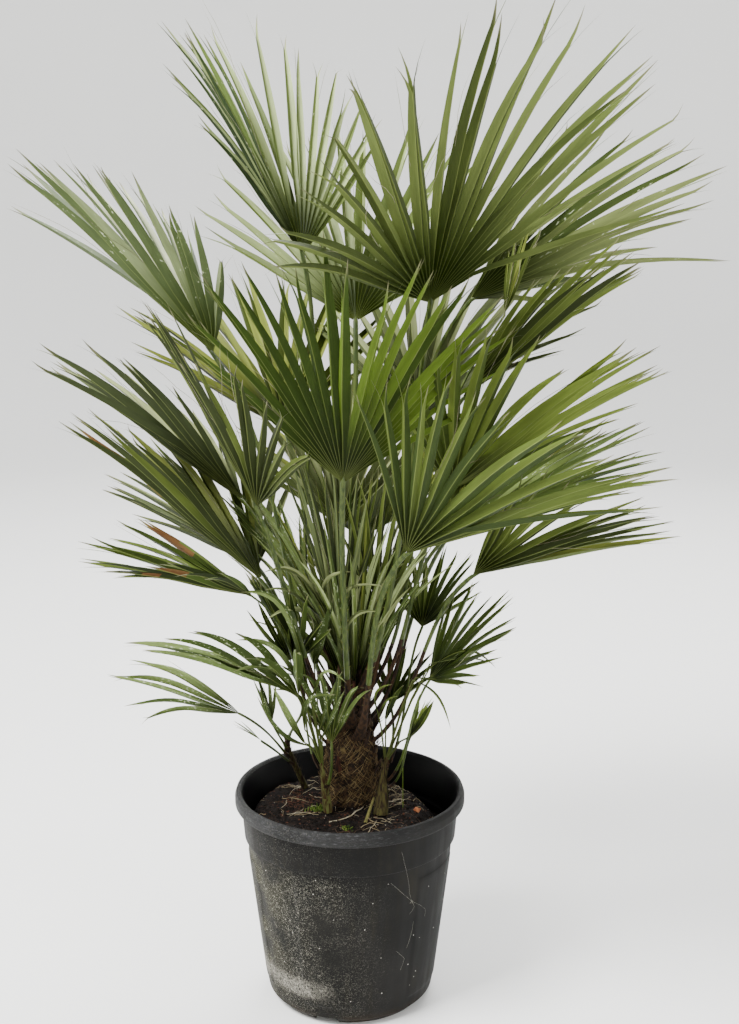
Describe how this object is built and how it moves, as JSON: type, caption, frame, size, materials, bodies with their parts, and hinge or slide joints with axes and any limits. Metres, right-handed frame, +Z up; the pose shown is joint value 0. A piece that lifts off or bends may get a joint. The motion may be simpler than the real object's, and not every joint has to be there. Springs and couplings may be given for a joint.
{
  "type": "potted european fan palm",
  "caption": "Clumping fan palm with palmate fronds on slim stalks, a short fibrous trunk and small suckers, in a round black nursery pot.",
  "frame": {"origin": "centre of the pot's flat underside", "axes": "+Z up the plant from the ground; -Y towards the front of the picture, +X to its right"},
  "size_m": [1.1972, 1.2491, 1.6993],
  "materials": {
    "pot": "weathered black polypropylene, dusty, with lime and algae specks",
    "soil": "damp dark peat with dry roots",
    "trunk": "coarse brown leaf-base fibre",
    "sucker_base": "woolly straw-brown sheaths",
    "leaf": "satin green leaf",
    "sucker_leaf": "downy pale green leaf"
  },
  "bodies": {
    "root": {"Frond_back_left": "leaf", "Frond_back_low": "leaf", "Frond_back_low_left": "leaf", "Frond_back_low_right": "leaf", "Frond_back_right": "leaf", "Frond_back_top": "leaf", "Frond_centre_front": "leaf", "Frond_inner_back": "leaf", "Frond_inner_left": "leaf", "Frond_inner_right": "leaf", "Frond_left_back": "leaf", "Frond_left_grey": "leaf", "Frond_left_low": "leaf", "Frond_left_middle": "leaf", "Frond_left_upper": "leaf", "Frond_new_right": "leaf", "Frond_right_front": "leaf", "Frond_right_low": "leaf", "Frond_right_middle": "leaf", "Frond_right_pale": "leaf", "Frond_right_upper": "leaf", "Frond_small_centre": "sucker_leaf", "Frond_spear": "leaf", "Frond_sucker_bud": "sucker_leaf", "Frond_sucker_curly": "sucker_leaf", "Frond_sucker_fold": "sucker_leaf", "Frond_sucker_front": "sucker_leaf", "Frond_sucker_left": "sucker_leaf", "Frond_sucker_long": "sucker_leaf", "Frond_sucker_right": "sucker_leaf", "Frond_sucker_upper": "sucker_leaf", "Frond_sucker_vee": "sucker_leaf", "Frond_top_front": "leaf", "Frond_top_left": "leaf", "Frond_top_right": "leaf", "Frond_woolly": "sucker_leaf", "Pot": "pot", "Soil": "soil", "Sucker_front": "sucker_base", "Sucker_left": "sucker_base", "Sucker_right": "sucker_base", "Trunk": "trunk"}
  },
  "joints": []
}
